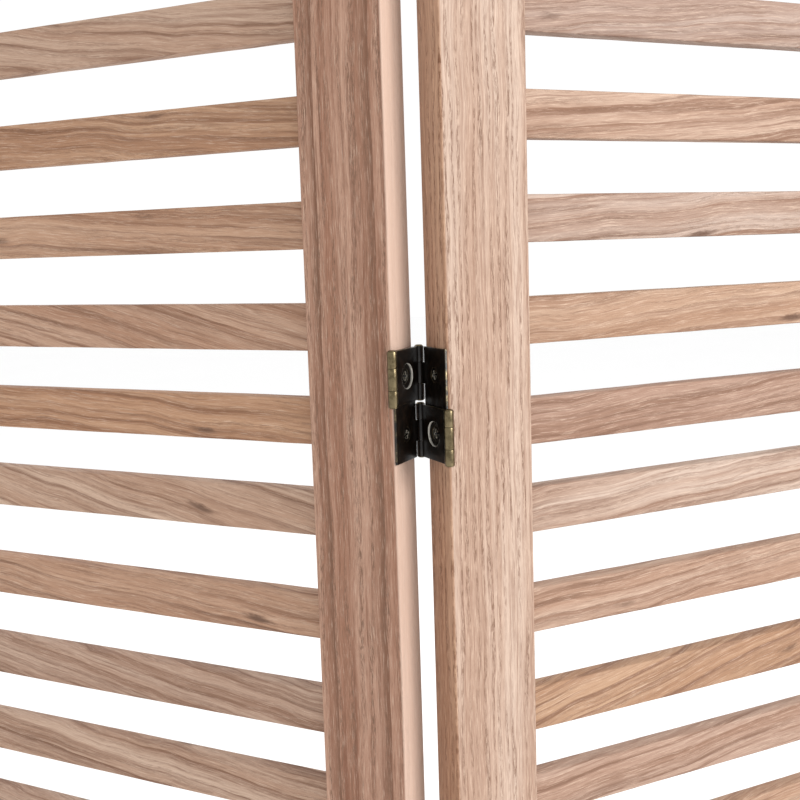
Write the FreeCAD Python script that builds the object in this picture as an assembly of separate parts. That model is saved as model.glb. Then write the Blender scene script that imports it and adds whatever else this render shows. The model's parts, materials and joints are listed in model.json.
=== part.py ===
import FreeCAD, Part
import math
import os

# Folding room divider screen: four slatted wooden panels joined edge to edge by
# double-action screen hinges, so that each pair of neighbours folds both ways.
# Millimetres and degrees. World frame: +Z up, front of the screen towards -Y.

os.makedirs("parts", exist_ok=True)

# ---- Panels ----
panel_width = 400.0
panel_height = 1700.0
panel_headings = (-26.2, 25.3, -28.2, 21.8)  # turn of each panel about +Z, left to right

stile_width = 40.0
stile_thickness = 19.0
stile_ease = 0.9            # rounding of the long corners
foot_length = 50.0          # stile below the bottom rail

rail_height = 40.0
rail_ease = 0.9

slat_count = 36
slat_height = 20.0
slat_thickness = 8.7
slat_ease = 0.5
slat_tongue = 8.0           # length of slat let into each stile
slat_clearance = 0.15       # between a slat and the walls of its mortise

# Slats were spaced by eye: (panel, slat counted from the bottom) and its lift off the even pitch
slat_lifts = {
    (1, 17): 2.5,
    (1, 16): 5.0,
    (1, 15): 1.0,
    (2, 17): -0.5,
    (2, 16): 3.5,
    (2, 15): 1.0,
    (2, 14): -1.5,
}

# ---- Dowels that hold the rails ----
dowel_radius = 4.0
dowel_depth = 20.0          # into the rail and into the stile
dowel_spacing = 20.0
dowel_clearance = 0.05

# ---- Hinges ----
end_hinge_distance = 227.0  # from an end of the stile to the middle of its nearest hinge
middle_hinge_rise = 13.9    # middle hinge above half the panel's height
leaf_thickness = 1.0
link_clearance = 0.15       # between a link and the leaf on each side of it
barrel_radius = 2.05
barrel_face_clearance = 1.25
barrel_edge_clearance = 0.25
hinge_half_height = 22.7
hinge_half_gap = 1.9        # between the upper and the lower half
knuckle_clearance = 0.15    # along the pin, between knuckles
middle_knuckle_length = 9.0
access_hole_radius = 5.25
pin_radius = 1.1
pin_clearance = 0.05
pin_head_radius = 1.7
pin_head_height = 0.6
pin_head_ease = 0.25

# ---- Hinge screws ----
screw_length = 16.0
screw_radius = 1.6
screw_head_radius = 3.3
screw_head_sink = 0.1       # below the face of the leaf
screw_clearance = 0.05
screw_tip_length = 4.0
recess_length = 3.8
recess_width = 0.8
recess_depth = 1.1

# ---- Sizes that follow ----
half_thickness = stile_thickness / 2
inner_width = panel_width - 2 * stile_width
slat_zone = panel_height - foot_length - 2 * rail_height
slat_gap = (slat_zone - slat_count * slat_height) / (slat_count + 1)
axis_out = 1.5 * leaf_thickness + link_clearance
axis_side = half_thickness + barrel_radius + barrel_face_clearance
link_half_width = axis_side - barrel_radius - barrel_edge_clearance
outer_knuckle_length = (hinge_half_height - middle_knuckle_length) / 2 - knuckle_clearance
hinge_height = 2 * hinge_half_height + hinge_half_gap
half_centre = (hinge_half_gap + hinge_half_height) / 2
hinge_heights = (
    end_hinge_distance,
    panel_height / 2 + middle_hinge_rise,
    panel_height - end_hinge_distance,
)
panel_count = len(panel_headings)

LEFT, RIGHT = -1, 1
FRONT, REAR = -1, 1
LOWER, UPPER = -1, 1
UP = FreeCAD.Vector(0, 0, 1)
OUT = FreeCAD.Vector(1, 0, 0)
ORIGIN = FreeCAD.Vector(0, 0, 0)


def box(x_limits, y_limits, z_limits):
    """Box between three pairs of limits."""
    sizes = [high - low for low, high in (x_limits, y_limits, z_limits)]
    corner = FreeCAD.Vector(x_limits[0], y_limits[0], z_limits[0])
    return Part.makeBox(sizes[0], sizes[1], sizes[2], corner)


def eased(block, direction, radius):
    """Round the edges of a box that run along a direction."""
    chosen = [edge for edge in block.Edges if abs(edge.tangentAt(edge.FirstParameter).dot(direction)) > 0.9]
    return block.makeFillet(radius, chosen)


def moved(shape, x, y, z):
    """Copy of a shape, shifted."""
    return shape.translated(FreeCAD.Vector(x, y, z))


# ---- Panel pieces. x runs from the panel's left end, y from mid-thickness, z from the floor ----


def slat_centre(panel, slat):
    """Height of a slat's middle, lifts included."""
    first = foot_length + rail_height + slat_gap + slat_height / 2
    return first + slat * (slat_height + slat_gap) + slat_lifts.get((panel, slat), 0.0)


def slat_block(panel, slat, allowance):
    """A slat with its tongues, or with an allowance the space that it needs."""
    middle = slat_centre(panel, slat)
    half_height = slat_height / 2 + allowance
    half_depth = slat_thickness / 2 + allowance
    ends = (stile_width - slat_tongue, panel_width - stile_width + slat_tongue)
    return box(ends, (-half_depth, half_depth), (middle - half_height, middle + half_height))


def rail_base(is_top):
    """Height of a rail's lower edge."""
    return panel_height - rail_height if is_top else foot_length


def dowel_rods(radius):
    """Dowels of one panel, or their holes, at both ends of both rails."""
    rods = []
    for is_top in (False, True):
        middle = rail_base(is_top) + rail_height / 2
        for joint_x in (stile_width, panel_width - stile_width):
            for side in (-1, 1):
                start = FreeCAD.Vector(joint_x - dowel_depth, 0, middle + side * dowel_spacing / 2)
                rods.append(Part.makeCylinder(radius, 2 * dowel_depth, start, OUT))
    return rods


def rail(is_top):
    """Top or bottom rail between the stiles."""
    base = rail_base(is_top)
    limits_x = (stile_width, panel_width - stile_width)
    blank = box(limits_x, (-half_thickness, half_thickness), (base, base + rail_height))
    return eased(blank, OUT, rail_ease).cut(dowel_rods(dowel_radius + dowel_clearance))


def stile(panel, end):
    """Upright with slat mortises, dowel holes and, where a hinge line is, screw holes."""
    start = 0.0 if end == LEFT else panel_width - stile_width
    blank = box((start, start + stile_width), (-half_thickness, half_thickness), (0, panel_height))
    cutters = [slat_block(panel, slat, slat_clearance) for slat in range(slat_count)]
    limits_x = (stile_width - slat_tongue, panel_width - stile_width + slat_tongue)
    cutters = [cutter.common(box(limits_x, (-half_thickness, half_thickness), (0, panel_height)))
               for cutter in cutters]
    cutters += dowel_rods(dowel_radius + dowel_clearance)
    if has_hinges(panel, end):
        cutters += screws(end, screw_clearance)
    return eased(blank, UP, stile_ease).cut(cutters)


# ---- Hinge pieces. x runs outwards from the end face, y from mid-thickness, z from the hinge's middle ----


def has_hinges(panel, end):
    """True where the panel has a neighbour at this end."""
    return 1 <= panel + end <= panel_count


def at_end(shape, end, height):
    """Put a hinge piece on an end of a panel."""
    if end == LEFT:
        return moved(shape.mirror(ORIGIN, OUT), 0, 0, height)
    return moved(shape, panel_width, 0, height)


def at_hinges(shape, end):
    """The same piece at every hinge on an end of a panel."""
    return [at_end(shape, end, height) for height in hinge_heights]


def screw(allowance):
    """Countersunk wood screw along x, or with an allowance the hole that it needs."""
    face = leaf_thickness - screw_head_sink
    cone = screw_head_radius - screw_radius
    tip = screw_length - cone - screw_tip_length
    inwards = FreeCAD.Vector(-1, 0, 0)
    head_at = FreeCAD.Vector(face, 0, 0)
    shank_at = FreeCAD.Vector(face - cone, 0, 0)
    tip_at = FreeCAD.Vector(face - cone - tip, 0, 0)
    outer = screw_head_radius + allowance
    inner = screw_radius + allowance
    body = Part.makeCone(outer, inner, cone, head_at, inwards)
    body = body.fuse(Part.makeCylinder(inner, tip, shank_at, inwards))
    body = body.fuse(Part.makeCone(inner, inner / 4, screw_tip_length, tip_at, inwards))
    if allowance:
        return body.fuse(Part.makeCylinder(outer, screw_head_sink, head_at, OUT))
    depth = (face - recess_depth, face)
    long_side = (-recess_length / 2, recess_length / 2)
    short_side = (-recess_width / 2, recess_width / 2)
    return body.cut([box(depth, long_side, short_side), box(depth, short_side, long_side)])


def screws(end, allowance):
    """Both screws of every leaf on one end of a panel."""
    placed = []
    for half in (LOWER, UPPER):
        placed += at_hinges(moved(screw(allowance), 0, 0, half * half_centre), end)
    return placed


def knuckles(half):
    """Lower and upper limits of the three knuckles of one half, from the hinge's middle outwards."""
    limits = []
    near = hinge_half_gap / 2
    for length in (outer_knuckle_length, middle_knuckle_length, outer_knuckle_length):
        limits.append(tuple(sorted((half * near, half * (near + length)))))
        near += length + knuckle_clearance
    return limits


def tube(side, limits, radius):
    """Solid cylinder on the front or the rear pin axis."""
    start = FreeCAD.Vector(axis_out, side * axis_side, limits[0])
    return Part.makeCylinder(radius, limits[1] - limits[0], start, UP)


def between(side, inner):
    """Limits in y from a leaf's body to a pin axis."""
    return tuple(sorted((side * inner, side * axis_side)))


def leaf(front_half):
    """Fixed leaf: its front_half carries the front knuckle, and its other half the rear one."""
    half_height = hinge_height / 2
    plate = box((0, leaf_thickness), (-half_thickness, half_thickness), (-half_height, half_height))
    bores = []
    for half, side in ((front_half, FRONT), (-front_half, REAR)):
        middle = knuckles(half)[1]
        tab = box((0, leaf_thickness), between(side, half_thickness / 2), middle)
        plate = plate.fuse([tab, tube(side, middle, barrel_radius)])
        bores.append(tube(side, middle, pin_radius + pin_clearance))
    holes = [moved(screw(screw_clearance), 0, 0, half * half_centre) for half in (LOWER, UPPER)]
    return plate.cut(bores + holes).removeSplitter()


def link(half):
    """Link leaf of one half: two knuckles on the front axis and two on the rear axis."""
    near, _, far = knuckles(half)
    limits_z = (min(near + far), max(near + far))
    limits_x = (axis_out - leaf_thickness / 2, axis_out + leaf_thickness / 2)
    plate = box(limits_x, (-link_half_width, link_half_width), limits_z)
    bores = []
    for side in (FRONT, REAR):
        for limits in (near, far):
            tab = box(limits_x, between(side, link_half_width / 2), limits)
            plate = plate.fuse([tab, tube(side, limits, barrel_radius)])
            bores.append(tube(side, limits, pin_radius + pin_clearance))
    hole_at = FreeCAD.Vector(0, 0, half * half_centre)
    bores.append(Part.makeCylinder(access_hole_radius, 2 * axis_out, hole_at, OUT))
    return plate.cut(bores).removeSplitter()


def pin_head(side, height, direction):
    """Rounded head of a pin, standing up or hanging down."""
    start = FreeCAD.Vector(axis_out, side * axis_side, height)
    head = Part.makeCylinder(pin_head_radius, pin_head_height, start, UP * direction)
    rim = [edge for edge in head.Edges if abs(edge.BoundBox.Center.z - height) > pin_head_height / 2
           and edge.Closed]
    return head.makeFillet(pin_head_ease, rim)


def whole_pin(half, side):
    """Pin through all three knuckles of a barrel, with a head at each end."""
    ends = [value for limits in knuckles(half) for value in limits]
    limits = (min(ends) - pin_clearance, max(ends) + pin_clearance)
    heads = [pin_head(side, limits[0], -1), pin_head(side, limits[1], 1)]
    return tube(side, limits, pin_radius).fuse(heads).removeSplitter()


def pin_end(half, side, outer):
    """Part of an opened pivot's pin that stays in one outer knuckle."""
    limits = knuckles(half)[2 if outer else 0]
    direction = half if outer else -half
    head_at = max(limits) + pin_clearance if direction > 0 else min(limits) - pin_clearance
    reach = tuple(sorted((head_at, min(limits) if direction > 0 else max(limits))))
    head = pin_head(side, head_at, direction)
    return tube(side, reach, pin_radius).fuse(head).removeSplitter()


# ---- Assembly ----

panel_nodes = {}   # node name: (panel whose frame it is drawn in, solids)


def add(name, panel, solids):
    """Note a node's solids, drawn in a panel's frame."""
    panel_nodes[name] = (panel, solids)


def add_panel(panel):
    """Wooden pieces and screws of one panel."""
    name = f"panel_{panel}_"
    add(name + "left_stile", panel, [stile(panel, LEFT)])
    add(name + "right_stile", panel, [stile(panel, RIGHT)])
    add(name + "top_rail", panel, [rail(True)])
    add(name + "bottom_rail", panel, [rail(False)])
    slats = [eased(slat_block(panel, slat, 0), OUT, slat_ease) for slat in range(slat_count)]
    add(name + "slats", panel, slats)
    add(name + "rail_dowels", panel, dowel_rods(dowel_radius))
    ends = [end for end in (LEFT, RIGHT) if has_hinges(panel, end)]
    add(name + "hinge_screws", panel, [piece for end in ends for piece in screws(end, 0)])


def add_hinge_line(line):
    """Hinge pieces between a panel and the next. The links lie flat on the leaves as folded."""
    left, right = line, line + 1
    name = f"hinge_line_{line}_"
    folded_back = panel_headings[right - 1] > panel_headings[left - 1]
    upper_on = (left, RIGHT) if folded_back else (right, LEFT)
    lower_on = (right, LEFT) if folded_back else (left, RIGHT)
    # the lower link's pivot on the far leaf is the opened one
    open_side = REAR if folded_back else FRONT
    far = (left, RIGHT) if folded_back else (right, LEFT)
    add(name + "left_leaves", left, at_hinges(leaf(UPPER), RIGHT))
    add(name + "right_leaves", right, at_hinges(leaf(LOWER), LEFT))
    add(name + "upper_links", upper_on[0], at_hinges(link(UPPER), upper_on[1]))
    add(name + "lower_links", lower_on[0], at_hinges(link(LOWER), lower_on[1]))
    upper_pins = [whole_pin(UPPER, FRONT), whole_pin(UPPER, REAR)]
    add(name + "upper_pins", upper_on[0],
        [piece for pin in upper_pins for piece in at_hinges(pin, upper_on[1])])
    add(name + "lower_pins", lower_on[0], at_hinges(whole_pin(LOWER, -open_side), lower_on[1]))
    middle = tube(open_side, knuckles(LOWER)[1], pin_radius)
    add(name + "open_pin_middles", far[0], at_hinges(middle, far[1]))
    ends = [pin_end(LOWER, open_side, outer) for outer in (False, True)]
    add(name + "open_pin_ends", lower_on[0], [piece for pin in ends for piece in at_hinges(pin, lower_on[1])])


def pin_axis(placement, end, side):
    """World point on a panel's front or rear pin axis."""
    x = panel_width + axis_out if end == RIGHT else -axis_out
    return placement.multVec(FreeCAD.Vector(x, side * axis_side, 0))


def panel_placements():
    """Chain the panels so that neighbours share the pin axis they are folded about."""
    turns = [FreeCAD.Rotation(UP, heading) for heading in panel_headings]
    placements = [FreeCAD.Placement(ORIGIN, turns[0])]
    for index in range(1, panel_count):
        side = REAR if panel_headings[index] > panel_headings[index - 1] else FRONT
        shared = pin_axis(placements[-1], RIGHT, side)
        offset = pin_axis(FreeCAD.Placement(ORIGIN, turns[index]), LEFT, side)
        placements.append(FreeCAD.Placement(shared - offset, turns[index]))
    return placements


for panel in range(1, panel_count + 1):
    add_panel(panel)
for line in range(1, panel_count):
    add_hinge_line(line)

placements = panel_placements()
world_nodes = {}
for name, (panel, solids) in panel_nodes.items():
    matrix = placements[panel - 1].toMatrix()
    world_nodes[name] = [solid.transformed(matrix, True) for solid in solids]

everything = Part.makeCompound([solid for solids in world_nodes.values() for solid in solids])
bounds = everything.optimalBoundingBox(False, False)
to_origin = FreeCAD.Vector(-bounds.Center.x, -bounds.Center.y, -bounds.ZMin)

for name, solids in world_nodes.items():
    shifted = [solid.translated(to_origin) for solid in solids]
    shape = shifted[0] if len(shifted) == 1 else Part.makeCompound(shifted)
    shape.exportStep(f"parts/{name}.step")

print(f"size {bounds.XLength:.2f} {bounds.YLength:.2f} {bounds.ZLength:.2f}")
print(f"slat gap {slat_gap:.2f}, hinge height {hinge_height:.2f}, panels {2 * (axis_side - half_thickness):.2f} apart")
for line in range(1, panel_count):
    front = pin_axis(placements[line - 1], RIGHT, FRONT) + to_origin
    rear = pin_axis(placements[line], LEFT, REAR) + to_origin
    print(f"line {line} front_fold {front.x:.4f} {front.y:.4f} rear_fold {rear.x:.4f} {rear.y:.4f}")
for panel, placement in enumerate(placements, 1):
    centre = placement.multVec(FreeCAD.Vector(panel_width / 2, 0, 0)) + to_origin
    print(f"panel {panel} centre {centre.x:.4f} {centre.y:.4f}")
volume = sum(solid.Volume for solids in world_nodes.values() for solid in solids)
print(f"{len(world_nodes)} nodes, volume {volume / 1e6:.3f} litres")
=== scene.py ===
"""Looks of a slatted folding screen: raw paulownia, lacquered two-way hinges and a plain studio."""

import json
import logging
import math
import random
from dataclasses import dataclass, field, replace
from enum import Enum
from typing import Any, Callable, Sequence

import bmesh
import bpy
from mathutils import Matrix, Vector, noise


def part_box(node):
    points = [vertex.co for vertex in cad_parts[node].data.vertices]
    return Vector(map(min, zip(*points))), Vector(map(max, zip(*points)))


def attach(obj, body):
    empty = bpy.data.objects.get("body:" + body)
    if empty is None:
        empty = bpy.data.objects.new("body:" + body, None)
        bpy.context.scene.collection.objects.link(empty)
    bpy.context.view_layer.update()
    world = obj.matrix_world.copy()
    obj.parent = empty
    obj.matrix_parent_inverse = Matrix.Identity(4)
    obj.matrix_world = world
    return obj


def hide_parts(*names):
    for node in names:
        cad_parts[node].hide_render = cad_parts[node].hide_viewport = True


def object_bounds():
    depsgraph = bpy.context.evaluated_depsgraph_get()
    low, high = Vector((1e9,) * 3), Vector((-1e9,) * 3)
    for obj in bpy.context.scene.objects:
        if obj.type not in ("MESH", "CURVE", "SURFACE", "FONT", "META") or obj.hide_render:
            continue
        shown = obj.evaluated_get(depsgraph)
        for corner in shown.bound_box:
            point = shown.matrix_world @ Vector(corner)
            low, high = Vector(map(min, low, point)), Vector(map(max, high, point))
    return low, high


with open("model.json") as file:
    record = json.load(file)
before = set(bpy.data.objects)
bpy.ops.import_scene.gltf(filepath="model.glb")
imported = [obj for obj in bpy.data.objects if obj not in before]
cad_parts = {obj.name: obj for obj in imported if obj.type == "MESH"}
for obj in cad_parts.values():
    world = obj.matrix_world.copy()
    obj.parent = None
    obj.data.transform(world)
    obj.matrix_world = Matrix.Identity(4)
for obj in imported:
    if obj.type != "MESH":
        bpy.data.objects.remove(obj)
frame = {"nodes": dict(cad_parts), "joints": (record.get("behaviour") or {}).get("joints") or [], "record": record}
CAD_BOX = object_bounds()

Colour = tuple[float, float, float, float]
Span = tuple[float, float]
Point = tuple[float, float]
Point3 = tuple[float, float, float]
Operand = Any

LOG = logging.getLogger("folding_screen")
MM = 0.001
WEAR_AND_GLINT = "wear_and_glint"
TONE = "tone"
PANELS = 4
HINGE_LINES = 3


class End(Enum):
    """An upright end of a panel, by the sign of x along the panel."""

    LEFT = -1
    RIGHT = 1


class Side(Enum):
    """A face of a panel, by the sign of y through its thickness."""

    FRONT = -1
    REAR = 1


class Half(Enum):
    """The lower or the upper half of a hinge, by the sign of z."""

    LOWER = -1
    UPPER = 1


class Grain(Enum):
    """Which way the grain of a wooden piece runs."""

    UPRIGHT = "upright"
    LEVEL = "level"


# ---------------------------------------------------------------- shader sheets


def _operator(operation: str, flip: bool = False) -> Callable[["Wire", Operand], "Wire"]:
    """An operator between a wire and a wire or a number, which adds a Math node."""
    return lambda wire, other: wire.math(operation, other, flip=flip)


@dataclass(frozen=True)
class Wire:
    """A socket that can be used in arithmetic; each operation adds one Math node."""

    sheet: "Sheet"
    socket: bpy.types.NodeSocket

    def math(self, operation: str, *others: Operand, flip: bool = False) -> "Wire":
        """Adds a Math node.

        Args:
            operation: The node's operation.
            others: Its other operands, wires or numbers.
            flip: Whether this wire comes after the other operand.

        Returns:
            The node's result.
        """
        operands = [*others, self] if flip else [self, *others]
        return self.sheet.node("ShaderNodeMath", {"operation": operation}, dict(enumerate(operands)))

    __add__ = __radd__ = _operator("ADD")
    __sub__ = _operator("SUBTRACT")
    __rsub__ = _operator("SUBTRACT", flip=True)
    __mul__ = __rmul__ = _operator("MULTIPLY")
    __truediv__ = _operator("DIVIDE")
    __pow__ = _operator("POWER")

    def smooth(self, low: float, high: float) -> "Wire":
        """Rises smoothly from 0 at low to 1 at high."""
        settings = {"interpolation_type": "SMOOTHSTEP"}
        return self.sheet.node("ShaderNodeMapRange", settings, {"Value": self, "From Min": low, "From Max": high})

    def clamped(self) -> "Wire":
        """Limits the value to between 0 and 1."""
        return self.sheet.node("ShaderNodeClamp", {}, {"Value": self})


class Sheet:
    """The node tree of one material."""

    def __init__(self, name: str) -> None:
        """Starts a material with only a Principled shader and its output.

        Args:
            name: The material's name.
        """
        self.material = bpy.data.materials.new(name)
        self.material.use_nodes = True
        self.tree = self.material.node_tree
        self.shader = self.tree.nodes["Principled BSDF"]

    def node(self, kind: str, settings: dict[str, Any], inputs: dict[Any, Operand], output: int | str = 0) -> Wire:
        """Adds any node.

        Args:
            kind: The node's type.
            settings: Its properties; "stops" are a colour ramp's positions and colours.
            inputs: Values or wires, by the socket's name or number.
            output: The socket that the wire comes from.

        Returns:
            The wire from that socket.
        """
        made = self.tree.nodes.new(kind)
        for key, value in settings.items():
            if key == "stops":
                self._fill_ramp(made, value)
            else:
                setattr(made, key, value)
        for key, value in inputs.items():
            if isinstance(value, Wire):
                self.tree.links.new(value.socket, made.inputs[key])
            else:
                made.inputs[key].default_value = value
        return Wire(self, made.outputs[output])

    @staticmethod
    def _fill_ramp(ramp: bpy.types.Node, stops: Sequence[tuple[float, Colour]]) -> None:
        """Gives a colour ramp its stops.

        Args:
            ramp: The ramp's node.
            stops: Position and colour of each stop, from the lowest.
        """
        elements = ramp.color_ramp.elements
        while len(elements) < len(stops):
            elements.new(1.0)
        for element, (position, colour) in zip(elements, stops):
            element.position = position
            element.color = colour

    def vector(self, x: Operand, y: Operand, z: Operand) -> Wire:
        """Three numbers as a vector."""
        return self.node("ShaderNodeCombineXYZ", {}, {0: x, 1: y, 2: z})

    def split(self, vector: Wire) -> tuple[Wire, Wire, Wire]:
        """Takes a vector apart.

        Args:
            vector: The vector.

        Returns:
            Its three numbers.
        """
        first = self.node("ShaderNodeSeparateXYZ", {}, {0: vector})
        outputs = first.socket.node.outputs
        return first, Wire(self, outputs[1]), Wire(self, outputs[2])

    def cloud(self, where: Wire, scale: float, detail: float = 2.0, rough: float = 0.5) -> Wire:
        """Noise from about 0 to 1."""
        inputs = {"Vector": where, "Scale": scale, "Detail": detail, "Roughness": rough}
        return self.node("ShaderNodeTexNoise", {}, inputs, "Fac")

    def blend(self, factor: Operand, low: Operand, high: Operand, mode: str = "MIX") -> Wire:
        """Mixes two colours."""
        settings = {"data_type": "RGBA", "blend_type": mode, "clamp_factor": True}
        return self.node("ShaderNodeMix", settings, {0: factor, 6: low, 7: high}, 2)

    def ramp(self, factor: Wire, stops: Sequence[tuple[float, Colour]]) -> Wire:
        """A colour ramp."""
        return self.node("ShaderNodeValToRGB", {"stops": stops}, {0: factor}, "Color")

    def attribute(self, name: str) -> Wire:
        """A number stored on the mesh."""
        return self.node("ShaderNodeAttribute", {"attribute_name": name}, {}, "Fac")

    def bump(self, height: Wire, distance: float, strength: float) -> Wire:
        """A Bump node's normal."""
        return self.node("ShaderNodeBump", {}, {"Height": height, "Distance": distance, "Strength": strength})

    def finish(self, links: dict[str, Wire], constants: dict[str, Operand]) -> bpy.types.Material:
        """Feeds the shader.

        Args:
            links: What varies over the surface, by socket.
            constants: What is the same all over, by socket.

        Returns:
            The finished material.
        """
        for socket, value in constants.items():
            self.shader.inputs[socket].default_value = value
        for socket, wire in links.items():
            self.tree.links.new(wire.socket, self.shader.inputs[socket])
        return self.material


def rgb(red: float, green: float, blue: float) -> Colour:
    """An opaque linear colour."""
    return (red, green, blue, 1.0)


# ---------------------------------------------------------------- where things are


def middle(node: str) -> Vector:
    """The middle of a CAD node's box."""
    low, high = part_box(node)
    return (low + high) / 2


def body_of(node: str) -> str:
    """The body that a CAD node belongs to."""
    bodies = frame["record"]["behaviour"]["bodies"]
    return next(body for body, members in bodies.items() if node in members)


@dataclass(frozen=True)
class PanelPlace:
    """Where a panel stands at rest: x along it from its middle, y through it, z up."""

    number: int
    centre: Vector
    heading: float
    width: float = 400 * MM
    stile_width: float = 40 * MM
    thickness: float = 19 * MM

    @classmethod
    def measured(cls, number: int) -> "PanelPlace":
        """Reads a panel's place from its stiles.

        Args:
            number: The panel, counted from the left.

        Returns:
            Its place.
        """
        left, right = (middle(f"panel_{number}_{end}_stile") for end in ("left", "right"))
        run = (right - left).to_2d()
        centre = (left + right) / 2
        return cls(number, Vector((centre.x, centre.y, 0.0)), math.atan2(run.y, run.x))

    @property
    def matrix(self) -> Matrix:
        """From the panel's own coordinates to the frame's."""
        return Matrix.Translation(self.centre) @ Matrix.Rotation(self.heading, 4, "Z")

    def seat(self, end: End, height: float) -> Matrix:
        """A hinge's own frame on an end face: x outwards, y through the panel, z up from its middle.

        Args:
            end: The end of the panel.
            height: Height of the hinge's middle.

        Returns:
            From the hinge's own frame to the row's.
        """
        turn = 0.0 if end is End.RIGHT else math.pi
        offset = Matrix.Translation((end.value * self.width / 2, 0.0, height))
        return self.matrix @ offset @ Matrix.Rotation(turn, 4, "Z")


@dataclass(frozen=True)
class HingeSizes:
    """Sizes of a two-way hinge and its screws, in metres, as on the CAD pieces."""

    leaf: float = 1.0 * MM
    link_gap: float = 0.15 * MM
    barrel: float = 2.05 * MM
    bore: float = 1.15 * MM
    face_gap: float = 1.25 * MM
    edge_gap: float = 0.25 * MM
    half_height: float = 22.7 * MM
    half_gap: float = 1.9 * MM
    knuckle_gap: float = 0.15 * MM
    middle_knuckle: float = 9.0 * MM
    access: float = 5.25 * MM
    pin_head: float = 1.7 * MM
    pin_head_height: float = 0.6 * MM
    pin_gap: float = 0.05 * MM
    screw_head: float = 3.3 * MM
    screw_shank: float = 1.6 * MM
    screw_length: float = 16.0 * MM
    screw_sink: float = 0.1 * MM
    middle_rise: float = 13.9 * MM

    @property
    def height(self) -> float:
        """Overall height."""
        return 2 * self.half_height + self.half_gap

    @property
    def outer_knuckle(self) -> float:
        """Length of the first and of the last knuckle of a barrel."""
        return (self.half_height - self.middle_knuckle) / 2 - self.knuckle_gap

    @property
    def half_centre(self) -> float:
        """Height of a half's middle above the hinge's."""
        return (self.half_gap + self.half_height) / 2

    @property
    def axis_out(self) -> float:
        """Pin axis beyond the end face."""
        return 1.5 * self.leaf + self.link_gap

    def axis_side(self, thickness: float) -> float:
        """Pin axis from mid-thickness."""
        return thickness / 2 + self.barrel + self.face_gap

    def knuckles(self, half: Half) -> list[Span]:
        """Limits of a half's three knuckles.

        Args:
            half: The hinge's half.

        Returns:
            Lower and upper end of each, from the hinge's middle outwards.
        """
        spans = []
        near = self.half_gap / 2
        for length in (self.outer_knuckle, self.middle_knuckle, self.outer_knuckle):
            low, high = sorted((half.value * near, half.value * (near + length)))
            spans.append((low, high))
            near += length + self.knuckle_gap
        return spans


SIZES = HingeSizes()
HOLE_STEPS = 40
KNUCKLE_STEPS = 36
PIN_STEPS = 28
SCREW_STEPS = 32
SLIT = 0.12
KNUCKLE_EASE = 0.12 * MM
SAME_POINT = 1e-6


def hinge_heights() -> list[float]:
    """Reads the hinges' heights from a leaf node's box.

    Returns:
        Heights of the middles of a line's three hinges, from the lowest.
    """
    low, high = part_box("hinge_line_1_left_leaves")
    top = CAD_BOX[1][2]
    return [low.z + SIZES.height / 2, top / 2 + SIZES.middle_rise, high.z - SIZES.height / 2]


# ---------------------------------------------------------------- shaping


def round_off(bm: bmesh.types.BMesh, edges: Sequence[bmesh.types.BMEdge], offset: float) -> dict[str, list]:
    """Rounds edges."""
    return bmesh.ops.bevel(bm, geom=edges, offset=offset, offset_type="OFFSET", segments=2, profile=0.5,
                           affect="EDGES", material=-1, clamp_overlap=True)


def added(name: str, data: bpy.types.ID) -> bpy.types.Object:
    """Puts a new object in the scene.

    Args:
        name: Its name.
        data: Its mesh, light or camera.

    Returns:
        The object, at the origin.
    """
    made = bpy.data.objects.new(name, data)
    bpy.context.scene.collection.objects.link(made)
    return made


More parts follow.
